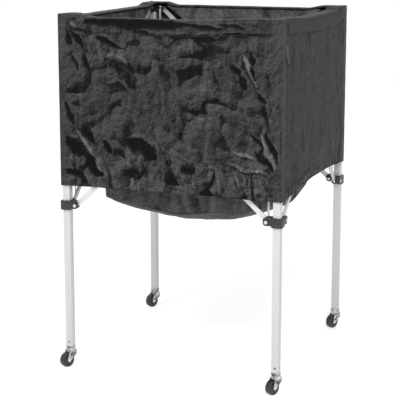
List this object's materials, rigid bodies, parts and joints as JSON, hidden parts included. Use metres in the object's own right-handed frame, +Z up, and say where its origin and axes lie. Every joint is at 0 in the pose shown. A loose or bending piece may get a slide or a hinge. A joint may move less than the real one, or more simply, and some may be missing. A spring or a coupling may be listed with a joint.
{
  "type": "folding ball cart",
  "caption": "Folding cart for sports balls: a square fabric bag on square tube legs with swivel casters, crossed side arms and sliders that let it fold.",
  "frame": {"origin": "centre of the bounding box, on the floor under the wheels", "axes": "+Z up; +Y to the back, away from the broad front panel; +X to the right seen from the front"},
  "size_m": [0.6504, 0.663, 1],
  "materials": {
    "aluminium_tube": "satin",
    "aluminium_bar": "satin",
    "black_moulding": "satin",
    "chrome_plate": "polished",
    "steel_pin": "satin",
    "wheel_rubber": "matt",
    "bag_nylon": "coated, slightly glossy",
    "strap_webbing": "matt"
  },
  "bodies": {
    "front_left_leg": {"leg_front_left": "aluminium_tube", "top_bracket_front_left": "black_moulding", "caster_stem_front_left": "chrome_plate", "lift_strap_front_left": "strap_webbing", "front_skirt": "bag_nylon", "front_pouch_wall": "bag_nylon", "left_skirt": "bag_nylon", "left_pouch_wall": "bag_nylon"},
    "front_right_leg": {"leg_front_right": "aluminium_tube", "top_bracket_front_right": "black_moulding", "caster_stem_front_right": "chrome_plate", "lift_strap_front_right": "strap_webbing", "right_skirt": "bag_nylon", "right_pouch_wall": "bag_nylon"},
    "back_right_leg": {"leg_back_right": "aluminium_tube", "top_bracket_back_right": "black_moulding", "caster_stem_back_right": "chrome_plate", "lift_strap_back_right": "strap_webbing"},
    "back_left_leg": {"leg_back_left": "aluminium_tube", "top_bracket_back_left": "black_moulding", "caster_stem_back_left": "chrome_plate", "lift_strap_back_left": "strap_webbing", "back_skirt": "bag_nylon", "back_pouch_wall": "bag_nylon"},
    "front_falling_arm": {"front_arm_falling": "aluminium_bar", "front_cross_rivet": "steel_pin"},
    "front_rising_arm": {"front_arm_rising": "aluminium_bar"},
    "right_falling_arm": {"right_arm_falling": "aluminium_bar", "right_cross_rivet": "steel_pin"},
    "right_rising_arm": {"right_arm_rising": "aluminium_bar"},
    "back_falling_arm": {"back_arm_falling": "aluminium_bar", "back_cross_rivet": "steel_pin"},
    "back_rising_arm": {"back_arm_rising": "aluminium_bar"},
    "left_falling_arm": {"left_arm_falling": "aluminium_bar"},
    "left_rising_arm": {"left_arm_rising": "aluminium_bar", "left_cross_rivet": "steel_pin"},
    "front_left_slider": {"slider_front_left": "black_moulding"},
    "front_left_caster": {"caster_yoke_front_left": "chrome_plate", "caster_axle_front_left": "steel_pin"},
    "front_left_wheel": {"wheel_front_left": "wheel_rubber"},
    "front_right_slider": {"slider_front_right": "black_moulding"},
    "front_right_caster": {"caster_yoke_front_right": "chrome_plate", "caster_axle_front_right": "steel_pin"},
    "front_right_wheel": {"wheel_front_right": "wheel_rubber"},
    "back_right_slider": {"slider_back_right": "black_moulding"},
    "back_right_caster": {"caster_yoke_back_right": "chrome_plate", "caster_axle_back_right": "steel_pin"},
    "back_right_wheel": {"wheel_back_right": "wheel_rubber"},
    "back_left_slider": {"slider_back_left": "black_moulding"},
    "back_left_caster": {"caster_yoke_back_left": "chrome_plate", "caster_axle_back_left": "steel_pin"},
    "back_left_wheel": {"wheel_back_left": "wheel_rubber"},
    "pouch_floor_front": {"pouch_floor_front": "bag_nylon"},
    "pouch_floor_back": {"pouch_floor_back": "bag_nylon"}
  },
  "joints": [
    {"name": "fold", "type": "hinge", "parent": "front_left_leg", "child": "front_falling_arm", "pos_m": [-0.276, -0.2952, 0.983], "axis": [0, 1, 0], "range_deg": [0, 40], "deforming": ["front_skirt", "front_pouch_wall", "right_skirt", "right_pouch_wall", "back_skirt", "back_pouch_wall", "left_skirt", "left_pouch_wall", "pouch_floor_front", "pouch_floor_back", "lift_strap_front_left", "lift_strap_front_right", "lift_strap_back_right", "lift_strap_back_left"]},
    {"name": "front_arm_crossing", "type": "hinge", "parent": "front_falling_arm", "child": "front_rising_arm", "pos_m": [0.002, -0.29895, 0.727], "axis": [0, 1, 0], "range_deg": [-80, 0]},
    {"name": "front_right_leg_pivot", "type": "hinge", "parent": "front_rising_arm", "child": "front_right_leg", "pos_m": [0.28, -0.3027, 0.983], "axis": [0, 1, 0], "range_deg": [0, 40]},
    {"name": "front_right_slider_pivot", "type": "hinge", "parent": "front_falling_arm", "child": "front_right_slider", "pos_m": [0.28, -0.2952, 0.471], "axis": [0, 1, 0], "range_deg": [-40, 0]},
    {"name": "front_left_slider_pivot", "type": "hinge", "parent": "front_rising_arm", "child": "front_left_slider", "pos_m": [-0.276, -0.3027, 0.471], "axis": [0, 1, 0], "range_deg": [0, 40]},
    {"name": "right_falling_arm_pivot", "type": "hinge", "parent": "front_right_leg", "child": "right_falling_arm", "pos_m": [0.3055, -0.2697, 0.983], "axis": [-1, 0, 0], "range_deg": [0, 40]},
    {"name": "right_arm_crossing", "type": "hinge", "parent": "right_falling_arm", "child": "right_rising_arm", "pos_m": [0.30925, 0.0083, 0.727], "axis": [-1, 0, 0], "range_deg": [-80, 0]},
    {"name": "back_right_leg_pivot", "type": "hinge", "parent": "right_rising_arm", "child": "back_right_leg", "pos_m": [0.313, 0.2863, 0.983], "axis": [-1, 0, 0], "range_deg": [0, 40]},
    {"name": "back_right_slider_pivot", "type": "hinge", "parent": "right_falling_arm", "child": "back_right_slider", "pos_m": [0.3055, 0.2863, 0.471], "axis": [-1, 0, 0], "range_deg": [-40, 0]},
    {"name": "left_rising_arm_pivot", "type": "hinge", "parent": "front_left_leg", "child": "left_rising_arm", "pos_m": [-0.309, -0.2697, 0.983], "axis": [1, 0, 0], "range_deg": [-40, 0]},
    {"name": "left_arm_crossing", "type": "hinge", "parent": "left_rising_arm", "child": "left_falling_arm", "pos_m": [-0.30525, 0.0083, 0.727], "axis": [1, 0, 0], "range_deg": [0, 80]},
    {"name": "back_left_leg_pivot", "type": "hinge", "parent": "left_falling_arm", "child": "back_left_leg", "pos_m": [-0.3015, 0.2863, 0.983], "axis": [1, 0, 0], "range_deg": [-40, 0]},
    {"name": "back_left_slider_pivot", "type": "hinge", "parent": "left_rising_arm", "child": "back_left_slider", "pos_m": [-0.309, 0.2863, 0.471], "axis": [1, 0, 0], "range_deg": [0, 40]},
    {"name": "back_falling_arm_pivot", "type": "hinge", "parent": "back_right_leg", "child": "back_falling_arm", "pos_m": [0.28, 0.3118, 0.983], "axis": [0, -1, 0], "range_deg": [0, 40]},
    {"name": "back_rising_arm_pivot", "type": "hinge", "parent": "back_left_leg", "child": "back_rising_arm", "pos_m": [-0.276, 0.3193, 0.983], "axis": [0, -1, 0], "range_deg": [-40, 0]},
    {"name": "pouch_floor_front_hem", "type": "hinge", "parent": "front_left_leg", "child": "pouch_floor_front", "pos_m": [0.002, -0.2377, 0.455], "axis": [1, 0, 0], "range_deg": [-85, 0]},
    {"name": "pouch_floor_back_hem", "type": "hinge", "parent": "back_left_leg", "child": "pouch_floor_back", "pos_m": [0.002, 0.2543, 0.455], "axis": [1, 0, 0], "range_deg": [0, 85]},
    {"name": "front_left_caster_swivel", "type": "hinge", "parent": "front_left_leg", "child": "front_left_caster", "pos_m": [-0.304, -0.2977, 0.045], "axis": [0, 0, 1], "continuous": true},
    {"name": "front_left_wheel_spin", "type": "hinge", "parent": "front_left_caster", "child": "front_left_wheel", "pos_m": [-0.30992, -0.31039, 0.0205], "axis": [0.9063, -0.4226, 0], "continuous": true},
    {"name": "front_right_caster_swivel", "type": "hinge", "parent": "front_right_leg", "child": "front_right_caster", "pos_m": [0.308, -0.2977, 0.045], "axis": [0, 0, 1], "continuous": true},
    {"name": "front_right_wheel_spin", "type": "hinge", "parent": "front_right_caster", "child": "front_right_wheel", "pos_m": [0.30208, -0.31039, 0.0205], "axis": [0.9063, -0.4226, 0], "continuous": true},
    {"name": "back_right_caster_swivel", "type": "hinge", "parent": "back_right_leg", "child": "back_right_caster", "pos_m": [0.308, 0.3143, 0.045], "axis": [0, 0, 1], "continuous": true},
    {"name": "back_right_wheel_spin", "type": "hinge", "parent": "back_right_caster", "child": "back_right_wheel", "pos_m": [0.30208, 0.30161, 0.0205], "axis": [0.9063, -0.4226, 0], "continuous": true},
    {"name": "back_left_caster_swivel", "type": "hinge", "parent": "back_left_leg", "child": "back_left_caster", "pos_m": [-0.304, 0.3143, 0.045], "axis": [0, 0, 1], "continuous": true},
    {"name": "back_left_wheel_spin", "type": "hinge", "parent": "back_left_caster", "child": "back_left_wheel", "pos_m": [-0.30992, 0.30161, 0.0205], "axis": [0.9063, -0.4226, 0], "continuous": true}
  ],
  "couplings": [
    {"joint": "front_arm_crossing", "follows": "fold", "ratio": -2},
    {"joint": "front_right_leg_pivot", "follows": "fold", "ratio": 1},
    {"joint": "front_right_slider_pivot", "follows": "fold", "ratio": -1},
    {"joint": "front_left_slider_pivot", "follows": "fold", "ratio": 1},
    {"joint": "right_falling_arm_pivot", "follows": "fold", "ratio": 1},
    {"joint": "right_arm_crossing", "follows": "fold", "ratio": -2},
    {"joint": "back_right_leg_pivot", "follows": "fold", "ratio": 1},
    {"joint": "back_right_slider_pivot", "follows": "fold", "ratio": -1},
    {"joint": "left_rising_arm_pivot", "follows": "fold", "ratio": -1},
    {"joint": "left_arm_crossing", "follows": "fold", "ratio": 2},
    {"joint": "back_left_leg_pivot", "follows": "fold", "ratio": -1},
    {"joint": "back_left_slider_pivot", "follows": "fold", "ratio": 1},
    {"joint": "back_falling_arm_pivot", "follows": "fold", "ratio": 1},
    {"joint": "back_rising_arm_pivot", "follows": "fold", "ratio": -1},
    {"joint": "pouch_floor_front_hem", "follows": "fold", "ratio": -2.125},
    {"joint": "pouch_floor_back_hem", "follows": "fold", "ratio": 2.125}
  ]
}
